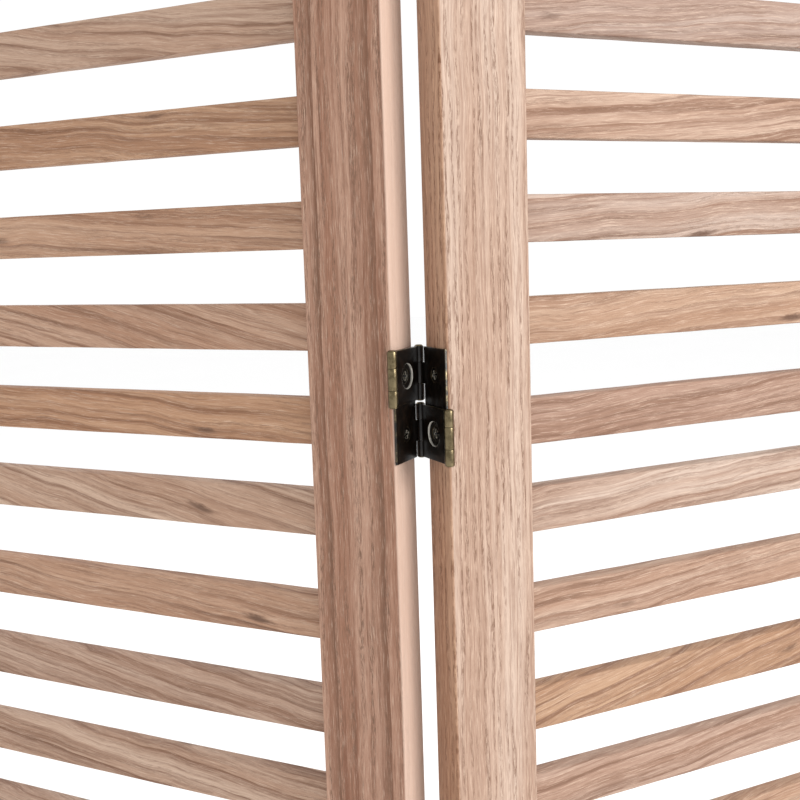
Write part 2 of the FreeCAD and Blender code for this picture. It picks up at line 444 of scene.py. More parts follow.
class Workpiece:
    """A mesh being shaped, with a value of wear on each face; from 0.75 up it also paints a near-white highlight."""

    def __init__(self) -> None:
        """Starts an empty piece."""
        self.mesh = bmesh.new()
        self.wear_and_glint = self.mesh.faces.layers.float.new(WEAR_AND_GLINT)

    def plate(self, outline: Sequence[Point], holes: Sequence[tuple[Point, float]], x_span: Span,
              ease: float, rim_wear: float, hole_wear_and_glint: float) -> None:
        """Adds a flat plate with round holes and rounded rims.

        Args:
            outline: Corners of the plate in y and z.
            holes: Middle and radius of each hole.
            x_span: The faces' places along x.
            ease: Radius of the rims.
            rim_wear: Wear round the outline.
            hole_wear_and_glint: Wear of the holes' walls and rims; from 0.75 up it also paints them near white as a
                highlight.
        """
        bm = self.mesh
        before = set(bm.faces)
        corners = [bm.verts.new((x_span[0], y, z)) for y, z in outline]
        edges = [bm.edges.new(pair) for pair in zip(corners, corners[1:] + corners[:1])]
        for (y, z), radius in holes:
            spot = Matrix.Translation((x_span[0], y, z)) @ Matrix.Rotation(math.pi / 2, 4, "Y")
            ring = bmesh.ops.create_circle(bm, cap_ends=False, segments=HOLE_STEPS, radius=radius, matrix=spot)
            edges += list({edge for vert in ring["verts"] for edge in vert.link_edges})
        filled = bmesh.ops.triangle_fill(bm, use_beauty=True, use_dissolve=False, edges=edges)
        faces = [item for item in filled["geom"] if isinstance(item, bmesh.types.BMFace)]
        grown = bmesh.ops.extrude_face_region(bm, geom=faces)
        risen = [item for item in grown["geom"] if isinstance(item, bmesh.types.BMVert)]
        bmesh.ops.translate(bm, vec=(x_span[1] - x_span[0], 0, 0), verts=risen)
        fresh = [face for face in bm.faces if face not in before]
        bmesh.ops.recalc_face_normals(bm, faces=fresh)
        walls = [face for face in fresh if abs(face.normal.x) < 0.5]
        rims = list({edge for face in walls for edge in face.edges if edge.calc_face_angle(0.0) > 1.0})
        round_off(bm, rims, ease)
        bm.normal_update()
        for face in bm.faces:
            if face in before or abs(face.normal.x) > 0.99:
                continue
            spot = face.calc_center_median()
            # faces in and round a hole take hole_wear_and_glint, which on the links paints them near white as a
            # highlight
            in_hole = any(math.dist((spot.y, spot.z), centre) < radius + 2 * ease for centre, radius in holes)
            face[self.wear_and_glint] = hole_wear_and_glint if in_hole else rim_wear

    def turned(self, profile: Sequence[Point], base: Matrix, steps: int, angle: float, wear_and_glint: float) -> None:
        """Adds a round piece, or one that is open at a slit and has a closed profile.

        Args:
            profile: Radius and height of each point, from the axis back to the axis unless it is open.
            base: From the piece's own axis, along z, to the workpiece.
            steps: Faces round it.
            angle: How far round it runs.
            wear_and_glint: Wear of its faces.
        """
        bm = self.mesh
        old = set(bm.faces) | set(bm.verts)
        whole = angle == math.tau
        points = [bm.verts.new((radius, 0.0, height)) for radius, height in profile]
        if whole:
            shape = points + [bm.edges.new(pair) for pair in zip(points, points[1:])]
        else:
            start = bm.faces.new(points)
            shape = [start, *start.edges, *start.verts]
        bmesh.ops.spin(bm, geom=shape, cent=(0, 0, 0), axis=(0, 0, 1), dvec=(0, 0, 0), angle=angle, steps=steps,
                       use_merge=whole, use_duplicate=False)
        if whole:
            bmesh.ops.remove_doubles(bm, verts=[vert for vert in bm.verts if vert not in old], dist=SAME_POINT)
        fresh = [face for face in bm.faces if face not in old]
        bmesh.ops.recalc_face_normals(bm, faces=fresh)
        for face in fresh:
            face[self.wear_and_glint] = wear_and_glint
        bmesh.ops.transform(bm, matrix=base, verts=[vert for vert in bm.verts if vert not in old])

    def rolled(self, span: Span, base: Matrix, seam: float, wear_and_glint: float) -> None:
        """Adds a knuckle rolled from sheet, with the slit where the sheet's edge meets the leaf.

        Args:
            span: Lower and upper end.
            base: From the pin's axis to the workpiece.
            seam: Direction of the slit round the axis, in radians.
            wear_and_glint: Wear of the knuckle's round face.
        """
        low, high = span
        outer, inner, soft = SIZES.barrel, SIZES.bore, KNUCKLE_EASE
        profile = [(inner, low), (outer - soft, low), (outer - soft * 0.3, low + soft * 0.3), (outer, low + soft),
                   (outer, high - soft), (outer - soft * 0.3, high - soft * 0.3), (outer - soft, high), (inner, high)]
        turn = Matrix.Rotation(seam + SLIT / 2, 4, "Z")
        self.turned(profile, base @ turn, KNUCKLE_STEPS, math.tau - SLIT, wear_and_glint)

    def copied(self, places: Sequence[Matrix]) -> "Workpiece":
        """Copies the piece to several places.

        Args:
            places: From the piece to each place.

        Returns:
            One workpiece with all the copies.
        """
        single = bpy.data.meshes.new("single")
        self.mesh.to_mesh(single)
        group = Workpiece()
        for place in places:
            known = len(group.mesh.verts)
            group.mesh.from_mesh(single)
            group.mesh.verts.ensure_lookup_table()
            bmesh.ops.transform(group.mesh, matrix=place, verts=group.mesh.verts[known:])
        bpy.data.meshes.remove(single)
        self.mesh.free()
        group.wear_and_glint = group.mesh.faces.layers.float[WEAR_AND_GLINT]
        return group

    def finished(self, name: str, material: bpy.types.Material, smooth_angle: float = 0.7) -> bpy.types.Object:
        """Makes the object.

        Args:
            name: The object's name.
            material: Its material.
            smooth_angle: Edges flatter than this are shaded smooth.

        Returns:
            The object, at the origin.
        """
        mesh = bpy.data.meshes.new(name)
        for face in self.mesh.faces:
            face.smooth = True
        for edge in self.mesh.edges:
            edge.smooth = len(edge.link_faces) == 2 and edge.calc_face_angle(0.0) < smooth_angle
        self.mesh.to_mesh(mesh)
        self.mesh.free()
        mesh.materials.append(material)
        return added(name, mesh)


def install(piece: bpy.types.Object, node: str) -> None:
    """Lets a piece stand for a CAD node, on that node's body.

    Args:
        piece: The finished piece.
        node: The CAD node.
    """
    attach(piece, body_of(node))
    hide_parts(node)
    LOG.info("%s stands for %s, %d faces", piece.name, node, len(piece.data.polygons))


# ---------------------------------------------------------------- finishes


@dataclass(frozen=True)
class GrainPlace:
    """A place in the grain of a piece, in millimetres along and across it."""

    sheet: Sheet
    along: Wire
    across: Wire
    seed: float

    def cloud(self, along: float, across: float, shift: float = 0.0, detail: float = 2.0, rough: float = 0.5) -> Wire:
        """Noise drawn out along the grain, by its rates along and across it."""
        where = self.sheet.vector(self.along * along, self.across * across, self.seed + shift)
        return self.sheet.cloud(where, 1.0, detail, rough)


SEED_STEP = 37.0
TONE_STEP = 913.0
TONE_TO_LEAN = 7.31
TONE_TO_RINGS = 5.17
TONE_STOPS = [(0.0, rgb(0.72, 0.74, 0.78)), (0.25, rgb(0.90, 0.96, 1.0)), (0.5, rgb(0.76, 0.64, 0.49)),
              (0.75, rgb(0.85, 0.83, 0.81)), (1.0, rgb(0.66, 0.59, 0.56))]


@dataclass(frozen=True)
class WoodFinish:
    """Raw paulownia: bands of tone, growth rings, fine fibres that follow them, painted glints of light along the
    fibres, and a few feather marks.

    Pitches and shifts are in millimetres and depths from 0 to 1 or a little more. A piece with a tone of its own
    has its own place in the grain, lean of the rings and strength of the rings, all drawn from the tone.
    """

    pale: Colour = rgb(0.49, 0.345, 0.262)
    body: Colour = rgb(0.385, 0.24, 0.168)
    ring: Colour = rgb(0.20, 0.105, 0.066)
    fibre: Colour = rgb(0.165, 0.088, 0.055)
    # painted glint: pale strokes along the fine fibres stand in for light glinting off them
    light: Colour = rgb(0.66, 0.50, 0.39)
    feather: Colour = rgb(0.10, 0.052, 0.034)
    tint: Colour = rgb(1.0, 1.0, 1.0)
    end_tint: Colour = rgb(1.0, 1.0, 1.0)
    end_plain: float = 0.0
    ring_pitch: float = 6.5
    ring_shift: float = 0.0
    ring_turn: float = 0.5
    lean: float = 0.0
    lean_spread: float = 0.0
    wander: float = 5.0
    ring_depth: float = 0.7
    ring_even: float = 0.2
    band_depth: float = 0.5
    streak_depth: float = 0.4
    dash_depth: float = 0.25
    dash_pitch: float = 3.1
    fibre_depth: float = 0.35
    feather_depth: float = 0.0
    tone_depth: float = 0.0
    even_share: float = 0.45
    arris: Span = (1.2, 0.2)
    roughness: Span = (0.58, 0.24)
    relief: Span = (0.0003, 0.6)
    gloss: float = 0.22

    def dress(self, name: str, place: PanelPlace, way: Grain, seed: float, x_middle: float = 0.0) -> bpy.types.Material:
        """Builds the material for one wooden piece.

        Args:
            name: The material's name.
            place: The panel, whose own coordinates the grain follows.
            way: Which way the grain runs.
            seed: Shifts the pattern, so that no two pieces match.
            x_middle: The piece's middle along the panel, in metres.

        Returns:
            The material.
        """
        sheet = Sheet(name)
        shift = Matrix.Rotation(-place.heading, 3, "Z") @ (place.centre / -MM)
        inputs = {"Vector": sheet.node("ShaderNodeTexCoord", {}, {}, "Object"), "Location": shift,
                  "Rotation": (0.0, 0.0, -place.heading), "Scale": (1 / MM, 1 / MM, 1 / MM)}
        x, y, z = sheet.split(sheet.node("ShaderNodeMapping", {"vector_type": "POINT"}, inputs))
        own = sheet.attribute(TONE) if self.tone_depth else None
        run, across = (z, x - x_middle / MM) if way is Grain.UPRIGHT else (x, z)
        along = run + (own * TONE_STEP + seed * SEED_STEP if own else seed * SEED_STEP)
        sway = sheet.cloud(sheet.vector(along * 0.018, across * 0.012, y * 0.012), 1.0, 2.0, 0.5) - 0.5
        lean = (own * TONE_TO_LEAN).math("FRACT") ** 2.0 * self.lean_spread + self.lean if own else self.lean
        across = across * math.cos(self.ring_turn) + y * math.sin(self.ring_turn) + run * lean + sway * self.wander
        grain = GrainPlace(sheet, along, across, seed)
        colour = self._bands(grain)
        if own:
            colour = sheet.blend(self.tone_depth, colour, sheet.ramp(own, TONE_STOPS), "MULTIPLY")
        colour = sheet.blend(1.0, colour, self.tint, "MULTIPLY")
        rings = self._rings(grain)
        if own:
            rings = rings * ((own * TONE_TO_RINGS).math("FRACT") * 0.65 + 0.35)
        colour = sheet.blend(rings, colour, self.ring)
        streak = grain.cloud(0.03, 0.85, 0.0, 4.0, 0.65)
        colour = sheet.blend(streak.smooth(0.51, 0.69) * self.streak_depth, colour, self.ring)
        dash = self._dashes(grain)
        colour = sheet.blend(dash * self.dash_depth, colour, self.fibre)
        fine = grain.cloud(0.1, 2.6, 0.0, 5.0, 0.72)
        colour = sheet.blend(fine.smooth(0.52, 0.68) * self.fibre_depth, colour, self.fibre)
        # painted glints: pale strokes where the fine fibre noise is low
        colour = sheet.blend(fine.smooth(0.49, 0.32) * 0.42, colour, self.light)
        if self.feather_depth:
            colour = sheet.blend(self._feathers(grain) * self.feather_depth, colour, self.feather)
        if self.end_tint != rgb(1.0, 1.0, 1.0):
            half = place.width / MM / 2
            end = x.math("ABSOLUTE").smooth(half - self.arris[0], half - self.arris[1])
            face = sheet.blend(1.0, sheet.blend(self.end_plain, colour, self._even()), self.end_tint, "MULTIPLY")
            colour = sheet.blend(end, colour, face)
        height = fine * 0.6 + streak * 0.4 - dash * 0.5 - rings * 0.4
        smoothest, spread = self.roughness
        links = {"Base Color": colour, "Roughness": smoothest + fine * spread,
                 "Normal": sheet.bump(height, *self.relief)}
        return sheet.finish(links, {"Specular IOR Level": self.gloss})

    def _even(self) -> Colour:
        """The tinted wood's even colour, between its darker and its paler one."""
        share = self.even_share
        return rgb(*(dye * (dark * share + pale * (1.0 - share))
                     for dye, dark, pale in zip(self.tint[:3], self.body, self.pale)))

    def _bands(self, grain: GrainPlace) -> Wire:
        """Colour of broad bands of paler and darker wood."""
        wide = grain.cloud(0.0035, 0.12, 9.0, 3.0, 0.55)
        narrow = grain.cloud(0.008, 0.42, 3.0)
        colour = grain.sheet.blend(wide.smooth(0.33, 0.67), self.body, self.pale)
        return grain.sheet.blend(narrow.smooth(0.5, 0.72) * self.band_depth, colour, self.ring)

    def _rings(self, grain: GrainPlace) -> Wire:
        """How dark the growth rings are: each darkens slowly, ends sharply and has its own depth.

        Args:
            grain: The place in the grain.

        Returns:
            From 0 between rings to 1.
        """
        sheet = grain.sheet
        uneven = sheet.cloud(sheet.vector(grain.across * 0.05, grain.seed, 0.0), 1.0, 1.0) - 0.5
        phase = (grain.across + self.ring_shift) / self.ring_pitch + uneven * 1.6
        saw = phase.math("FRACT")
        late = (saw ** 9.0 * 1.1 + saw ** 2.0 * 0.36) * (1.0 - saw.smooth(0.97, 1.0))
        each = sheet.cloud(sheet.vector(phase.math("FLOOR") * 3.7, grain.seed, grain.along * 0.006), 1.0, 1.0)
        return (late * (each.smooth(0.3, 0.65) * (1.0 - self.ring_even) + self.ring_even) * self.ring_depth).clamped()

    def _dashes(self, grain: GrainPlace) -> Wire:
        """How dark the short pores are, which are strung along the grain in rows.

        Args:
            grain: The place in the grain.

        Returns:
            From 0 between pores to 1.
        """
        drift = grain.cloud(0.01, 0.2, 7.0) - 0.5
        row = (grain.across / self.dash_pitch + drift * 2.2).math("FRACT")
        near = row.smooth(0.15, 0.75) * (1.0 - row.smooth(0.85, 1.0))
        broken = grain.cloud(0.26, 2.9, 5.0, 3.0, 0.7)
        part = grain.cloud(0.02, 0.3, 2.0).smooth(0.35, 0.6)
        return broken.smooth(0.44, 0.6) * near * (part * 0.8 + 0.2)

    @staticmethod
    def _feathers(grain: GrainPlace) -> Wire:
        """How dark the small feathery marks are, which lie far apart.

        Args:
            grain: The place in the grain.

        Returns:
            From 0 between marks to 1.
        """
        ragged = grain.cloud(0.2, 0.7, 0.0, 3.0, 0.6) - 0.5
        spot = grain.sheet.vector(grain.along * 0.012, grain.across * 0.06 + ragged * 0.12, grain.seed)
        reach = grain.sheet.node("ShaderNodeTexVoronoi", {"feature": "F1"}, {"Vector": spot, "Scale": 1.0}, "Distance")
        return (reach + ragged * 0.1).smooth(0.13, 0.03)


@dataclass(frozen=True)
class LacquerFinish:
    """Black lacquer over brass: aged brass where it has worn through, and painted near-white highlights on the walls of
    the link holes and the lips of the screw crosses, partly bare cut metal.
    """

    lacquer: Colour = rgb(0.0045, 0.0032, 0.0025)
    brown: Colour = rgb(0.012, 0.007, 0.0045)
    aged: Colour = rgb(0.175, 0.138, 0.078)
    tarnish: Colour = rgb(0.10, 0.077, 0.042)
    # painted highlight: near-white for the bright crescents on the hole walls and the glints on the screw crosses,
    # partly bare cut metal
    bare_edge_and_glint: Colour = rgb(0.80, 0.77, 0.70)

    def dress(self, name: str) -> bpy.types.Material:
        """Builds the material.

        Args:
            name: Its name.

        Returns:
            The material.
        """
        sheet = Sheet(name)
        where = sheet.node("ShaderNodeTexCoord", {}, {}, "Object")
        worn = sheet.attribute(WEAR_AND_GLINT)
        patchy = sheet.cloud(where, 380.0, 4.0, 0.6)
        speckle = sheet.cloud(where, 2400.0, 2.0, 0.6)
        mask = (worn + (patchy - 0.5) * 0.3 + (speckle - 0.5) * 0.12).smooth(0.34, 0.46)
        coat = sheet.blend(patchy.smooth(0.4, 0.75), self.lacquer, self.brown)
        metal = sheet.blend((patchy * 0.7 + speckle * 0.3).smooth(0.38, 0.56), self.tarnish, self.aged)
        # painted highlight: from 0.75 up the metal turns near white, less metallic and rougher, as a glint on the hole
        # walls and screw lips
        bare_edge_and_glint_mask = worn.smooth(0.75, 0.9)
        colour = sheet.blend(mask, coat, sheet.blend(bare_edge_and_glint_mask, metal, self.bare_edge_and_glint))
        rough = 0.34 - mask * 0.06 + speckle * 0.06 + bare_edge_and_glint_mask * 0.2
        polish = worn.smooth(0.08, 0.14) * (1.0 - mask) * 0.55
        links = {"Base Color": colour, "Metallic": mask - bare_edge_and_glint_mask * 0.7, "Roughness": rough, "Coat Weight": polish,
                 "Normal": sheet.bump(speckle * 0.3 - mask * 0.5, 0.00003, 0.5)}
        return sheet.finish(links, {"Specular IOR Level": 0.08, "Coat Roughness": 0.22})


@dataclass(frozen=True)
class FloorFinish:
    """Plain pale floor, hardly uneven."""

    pale: Colour = rgb(0.96, 0.96, 0.96)
    shade: Colour = rgb(0.945, 0.945, 0.945)

    def dress(self, name: str) -> bpy.types.Material:
        """Builds the material.

        Args:
            name: Its name.

        Returns:
            The material.
        """
        sheet = Sheet(name)
        where = sheet.node("ShaderNodeTexCoord", {}, {}, "Object")
        colour = sheet.blend(sheet.cloud(where, 1.5), self.pale, self.shade)
        return sheet.finish({"Base Color": colour}, {"Roughness": 0.8, "Specular IOR Level": 0.2})


# ---------------------------------------------------------------- wooden pieces


PLAIN_STILE = WoodFinish(body=rgb(0.31, 0.18, 0.122), ring=rgb(0.185, 0.088, 0.053), ring_even=0.7,
                         tint=rgb(0.95, 0.815, 0.765), end_tint=rgb(1.2, 1.49, 1.7), end_plain=0.85,
                         ring_pitch=17.0, ring_shift=-22.7, ring_turn=0.7, wander=3.0, ring_depth=1.3,
                         band_depth=0.7, streak_depth=0.65, dash_depth=0.95, dash_pitch=4.5, fibre_depth=0.65)
STREAKY_STILE = WoodFinish(tint=rgb(0.94, 1.0, 1.05), end_tint=rgb(1.04, 0.88, 0.74), ring_pitch=3.6, ring_turn=0.6,
                           wander=2.5, ring_depth=0.45, band_depth=0.2, streak_depth=0.45, dash_depth=0.95,
                           dash_pitch=2.9, fibre_depth=0.35)
RAIL = WoodFinish(tint=rgb(0.92, 0.87, 0.85), lean=0.02)
SLAT = WoodFinish(ring_pitch=9.0, wander=7.0, lean=0.06, lean_spread=0.19, ring_depth=1.45, streak_depth=0.45,
                  band_depth=0.8, dash_depth=0.4, fibre_depth=0.3, feather_depth=0.8, tone_depth=1.0)

# painted light and shade: a warmer, paler tint for the slats of the panels turned away from the key light and a cooler
# one for the lit panels, standing in for how the light falls on them
SLAT_TINT_SHADED = rgb(1.165, 1.10, 1.04)
SLAT_TINT_LIT = rgb(1.04, 1.09, 1.15)

# slats with a tone of their own, by panel and by number from the lowest; the others draw theirs
SLAT_TONES = {(1, 15): 0.72, (1, 16): 0.25, (1, 17): 0.585, (1, 18): 0.81, (1, 19): 0.69, (1, 20): 0.42,
              (2, 15): 0.70, (2, 16): 0.28, (2, 17): 0.97, (2, 18): 0.42, (2, 19): 0.14}


@dataclass
class Panel:
    """One slatted panel: its stiles and rails keep their CAD shape, and its slats are cut afresh."""

    place: PanelPlace
    left_finish: WoodFinish = STREAKY_STILE
    right_finish: WoodFinish = PLAIN_STILE
    rail_finish: WoodFinish = RAIL
    slat_finish: WoodFinish = SLAT
    slat_tongue: float = 8.0 * MM
    slat_depth: float = 8.7 * MM
    slat_ease: float = 0.5 * MM
    slat_steps: int = 28
    slat_crease: float = 0.9
    slat_least: float = 10 * MM
    waviness: float = 0.13 * MM
    wave_rate: float = 55.0
    held_end: float = 9 * MM
    fade: float = 12 * MM

    def node(self, piece: str) -> str:
        """Name of one of the panel's CAD nodes."""
        return f"panel_{self.place.number}_{piece}"

    def slat_spans(self) -> list[Span]:
        """Reads the slats' places from their CAD node.

        Returns:
            Height of each slat's lower and upper face, from the lowest.
        """
        heights = sorted({round(vert.co.z, 5) for vert in frame["nodes"][self.node("slats")].data.vertices})
        spans, low = [], heights[0]
        for below, above in zip(heights, heights[1:]):
            if min(above - below, below - low) > self.slat_least:
                spans.append((low, below))
                low = above
        spans.append((low, heights[-1]))
        return spans

    def cut_slats(self) -> bpy.types.Object:
        """Makes the slats, each eased, very slightly wavy along its faces and with its own tone.

        Returns:
            The slats as one object.
        """
        length = self.place.width - 2 * (self.place.stile_width - self.slat_tongue)
        shuffle = random.Random(self.place.number * 101)
        bm = bmesh.new()
        tone = bm.faces.layers.float.new(TONE)
        single = bpy.data.meshes.new("single")
        for index, span in enumerate(self.slat_spans()):
            self._cut_slat(single, index, length, span)
            known = len(bm.faces)
            bm.from_mesh(single)
            bm.faces.ensure_lookup_table()
            own = SLAT_TONES.get((self.place.number, index), shuffle.random())
            for face in bm.faces[known:]:
                face[tone] = own
        bpy.data.meshes.remove(single)
        bmesh.ops.transform(bm, matrix=self.place.matrix, verts=bm.verts)
        for face in bm.faces:
            face.smooth = True
        for edge in bm.edges:
            edge.smooth = edge.calc_face_angle(0.0) < self.slat_crease
        mesh = bpy.data.meshes.new(f"slats_{self.place.number}")
        bm.to_mesh(mesh)
        bm.free()
        return added(mesh.name, mesh)

    def _cut_slat(self, mesh: bpy.types.Mesh, index: int, length: float, span: Span) -> None:
        """Shapes one slat in the panel's own coordinates.

        Args:
            mesh: Where it is written.
            index: The slat, counted from the lowest.
            length: Its length with both tongues.
            span: Heights of its lower and upper face.
        """
        bottom, top = span
        bm = bmesh.new()
        scale = Matrix.Diagonal((length, self.slat_depth, top - bottom, 1.0))
        bmesh.ops.create_cube(bm, size=1.0, matrix=Matrix.Translation((0, 0, (bottom + top) / 2)) @ scale)
        long_edges = [edge for edge in bm.edges if edge.calc_length() > length / 2]
        round_off(bm, long_edges, self.slat_ease)
        for step in range(1, self.slat_steps):
            cut = -length / 2 + length * step / self.slat_steps
            bmesh.ops.bisect_plane(bm, geom=[*bm.verts, *bm.edges, *bm.faces], dist=SAME_POINT,
                                   plane_co=(cut, 0, 0), plane_no=(1, 0, 0))
        self._weather(bm.verts, length, index)
        bm.to_mesh(mesh)
        bm.free()

    def _weather(self, verts: Sequence[bmesh.types.BMVert], length: float, index: int) -> None:
        """Moves a slat's faces in and out by a few hundredths of a millimetre, less near its ends.

        Args:
            verts: Its points.
            length: Its length with both tongues.
            index: The slat, counted from the lowest.
        """
        seed = Vector((self.place.number * 7.3, index * 3.1, 0.0))
        for vert in verts:
            free = min(1.0, max(0.0, (length / 2 - abs(vert.co.x) - self.held_end) / self.fade))
            spot = Vector((vert.co.x * self.wave_rate, 0.0, 0.0)) + seed
            lift = noise.noise(spot) * self.waviness
            push = noise.noise(spot + Vector((9.1, 4.7, 2.2))) * self.waviness
            vert.co.z += lift * free
            vert.co.y += push * free

    def build(self) -> None:
        """Cuts the slats and dresses every wooden node of the panel."""
        number = self.place.number
        slats = self.cut_slats()
        base, turned_from_key = self.slat_finish, self.place.heading < 0.0
        way = 1.0 if turned_from_key else -1.0
        # painted light and shade: the slats of a panel turned away from the key light take the shaded tint, those of
        # the others the lit tint
        finish = replace(base, lean=base.lean * way, lean_spread=base.lean_spread * way,
                         tint=SLAT_TINT_SHADED if turned_from_key else SLAT_TINT_LIT)
        slats.data.materials.append(finish.dress(f"slat_wood_{number}", self.place, Grain.LEVEL, number * 3.7))
        install(slats, self.node("slats"))
        reach = (self.place.width - self.place.stile_width) / 2
        for end, sign, finish in (("left", -1, self.left_finish), ("right", 1, self.right_finish)):
            seed = number * 5.1 + sign * 1.9
            wood = finish.dress(f"stile_wood_{number}_{end}", self.place, Grain.UPRIGHT, seed, sign * reach)
            repaint(self.node(f"{end}_stile"), wood)
        rail_wood = self.rail_finish.dress(f"rail_wood_{number}", self.place, Grain.LEVEL, number * 2.3)
        for piece in ("top_rail", "bottom_rail", "rail_dowels"):
            repaint(self.node(piece), rail_wood)


def repaint(node: str, material: bpy.types.Material) -> None:
    """Gives a CAD node another material.

    Args:
        node: The node.
        material: Its finish.
    """
    mesh = frame["nodes"][node].data
    mesh.materials.clear()
    mesh.materials.append(material)
    LOG.info("%s is dressed in %s", node, material.name)


# ---------------------------------------------------------------- hinges


@dataclass
class HingeLine:
    """The hinges between a panel and the next one, drawn in the own frame of the end face they sit on."""

    line: int
    left: PanelPlace
    right: PanelPlace
    heights: list[float]
    metal: bpy.types.Material
    rim: float = 0.14 * MM
    seam_turn: float = math.radians(118.0)
    front_wear: float = 0.6
    rear_wear: float = 0.15
    rim_wear: float = 0.38
    seat_wear: float = 0.40
    # painted highlight: high enough to paint the walls of the link holes near white, the bright crescents on their bare
    # cut edges
    hole_wear_and_glint: float = 0.86
    pin_wear: float = 0.6

    @property
    def folded_back(self) -> bool:
        """Whether the line stands forward, folded about its rear pins."""
        return self.right.heading > self.left.heading

    def node(self, piece: str) -> str:
        """Name of one of the line's CAD nodes."""
        return f"hinge_line_{self.line}_{piece}"

    def seats(self, end: End) -> list[Matrix]:
        """Seats of the hinges on the left panel's right end, or on the right panel's left end."""
        place = self.left if end is End.RIGHT else self.right
        return [place.seat(end, height) for height in self.heights]

    @staticmethod
    def y_sign(end: End, side: Side) -> int:
        """Sign of a seat's own y towards a side of the panel."""
        return side.value * end.value

    def axis(self, sign: int) -> Matrix:
        """From a pin axis to its seat."""
        return Matrix.Translation((SIZES.axis_out, sign * SIZES.axis_side(self.left.thickness), 0.0))

    def barrel_wear(self, side: Side) -> float:
        """The front barrels are worn to the brass, and the rear ones keep their lacquer."""
        return self.front_wear if side is Side.FRONT else self.rear_wear

    def knuckle(self, piece: Workpiece, span: Span, end: End, side: Side) -> None:
        """Rolls one knuckle onto a leaf or a link."""
        sign = self.y_sign(end, side)
        piece.rolled(span, self.axis(sign), -sign * self.seam_turn, self.barrel_wear(side))

    def outline(self, reach: float, span: Span, tabs: dict[int, list[Span]]) -> list[Point]:
        """Corners of a leaf with the tabs that run to its knuckles, anticlockwise.

        Args:
            reach: Half the width of its body.
            span: Its lower and upper edge.
            tabs: Spans of the tabs by the sign of y, from the lowest up.

        Returns:
            The corners in y and z.
        """
        outer = SIZES.axis_side(self.left.thickness)
        corners: list[Point] = []
        for sign in (1, -1):
            flank = [(sign * reach, span[0])]
            for low, high in sorted(tabs[sign]):
                flank += [(sign * reach, low), (sign * outer, low), (sign * outer, high), (sign * reach, high)]
            flank.append((sign * reach, span[1]))
            corners += flank[::sign]
        return [one for one, before in zip(corners, corners[-1:] + corners) if math.dist(one, before) > 1e-7]

    def leaf(self, end: End, front_half: Half) -> Workpiece:
        """A fixed leaf with its two knuckles and its two screw holes.

        Args:
            end: The end of the panel that it is screwed to.
            front_half: The half that carries the front knuckle.

        Returns:
            The leaf, in its seat's frame.
        """
        piece = Workpiece()
        rear_half = Half.LOWER if front_half is Half.UPPER else Half.UPPER
        places = {Side.FRONT: SIZES.knuckles(front_half)[1], Side.REAR: SIZES.knuckles(rear_half)[1]}
        tabs = {self.y_sign(end, side): [span] for side, span in places.items()}
        top = SIZES.height / 2
        holes = [((0.0, half.value * SIZES.half_centre), SIZES.screw_head - SIZES.screw_sink) for half in Half]
        outline = self.outline(self.left.thickness / 2, (-top, top), tabs)
        piece.plate(outline, holes, (0.0, SIZES.leaf), self.rim, self.rim_wear, self.seat_wear)
        for side, span in places.items():
            self.knuckle(piece, span, end, side)
        return piece

    def link(self, end: End, half: Half) -> Workpiece:
        """A link leaf with two knuckles on each axis and its access hole.

        Args:
            end: The end that it lies on at rest.
            half: The hinge's half that it belongs to.

        Returns:
            The link, in its seat's frame.
        """
        piece = Workpiece()
        reach = SIZES.axis_side(self.left.thickness) - SIZES.barrel - SIZES.edge_gap
        spans = SIZES.knuckles(half)
        outer_spans = [spans[0], spans[2]]
        outline = self.outline(reach, (min(min(spans)), max(max(spans))), {1: outer_spans, -1: outer_spans})
        x_span = (SIZES.axis_out - SIZES.leaf / 2, SIZES.axis_out + SIZES.leaf / 2)
        holes = [((0.0, half.value * SIZES.half_centre), SIZES.access)]
        piece.plate(outline, holes, x_span, self.rim, self.rim_wear, self.hole_wear_and_glint)
        for side in Side:
            for span in outer_spans:
                self.knuckle(piece, span, end, side)
        return piece

    def pin_profile(self, low: float, high: float, head_low: bool, head_high: bool) -> list[Point]:
        """Draws a pin's outline.

        Args:
            low: Lower end of its shank.
            high: Upper end of its shank.
            head_low: Whether it has a head below.
            head_high: Whether it has a head above.

        Returns:
            Radius and height of each point, from the axis at its foot to the axis at its top.
        """
        shank = SIZES.bore - SIZES.pin_gap
        head, rise = SIZES.pin_head, SIZES.pin_head_height
        points: list[Point] = [(0.0, low)]
        points += self._head(head, rise, low, -1) if head_low else [(shank, low)]
        points += self._head(head, rise, high, 1)[::-1] if head_high else [(shank, high)]
        if head_low:
            points[0] = (0.0, low - rise)
        points.append((0.0, high + rise if head_high else high))
        return points

    @staticmethod
    def _head(radius: float, rise: float, base: float, way: int) -> list[Point]:
        """Draws a domed pin head.

        Args:
            radius: Its radius.
            rise: Its height.
            base: Height of its flat side.
            way: 1 if it is above that, or -1.

        Returns:
            Radius and height of each point, from its crown to the shank.
        """
        shank = SIZES.bore - SIZES.pin_gap
        crown = [(radius * 0.55, base + way * rise * 0.96), (radius * 0.85, base + way * rise * 0.75),
                 (radius, base + way * rise * 0.35), (radius * 0.98, base)]
        return crown + [(shank, base)]

    def pin(self, piece: Workpiece, sign: int, spans: Sequence[Span], heads: tuple[bool, bool]) -> None:
        """Adds a pin through some knuckles.

        Args:
            piece: The workpiece.
            sign: Sign of y of its axis.
            spans: The knuckles it runs through.
            heads: Whether it has a head below and above.
        """
        low = min(min(spans)) - (SIZES.pin_gap if heads[0] else 0.0)
        high = max(max(spans)) + (SIZES.pin_gap if heads[1] else 0.0)
        piece.turned(self.pin_profile(low, high, *heads), self.axis(sign), PIN_STEPS, math.tau, self.pin_wear)

    def put(self, piece: Workpiece, end: End, name: str) -> None:
        """Copies a hinge piece to every hinge and installs it."""
        done = piece.copied(self.seats(end)).finished(f"{name}_{self.line}", self.metal)
        install(done, self.node(name))

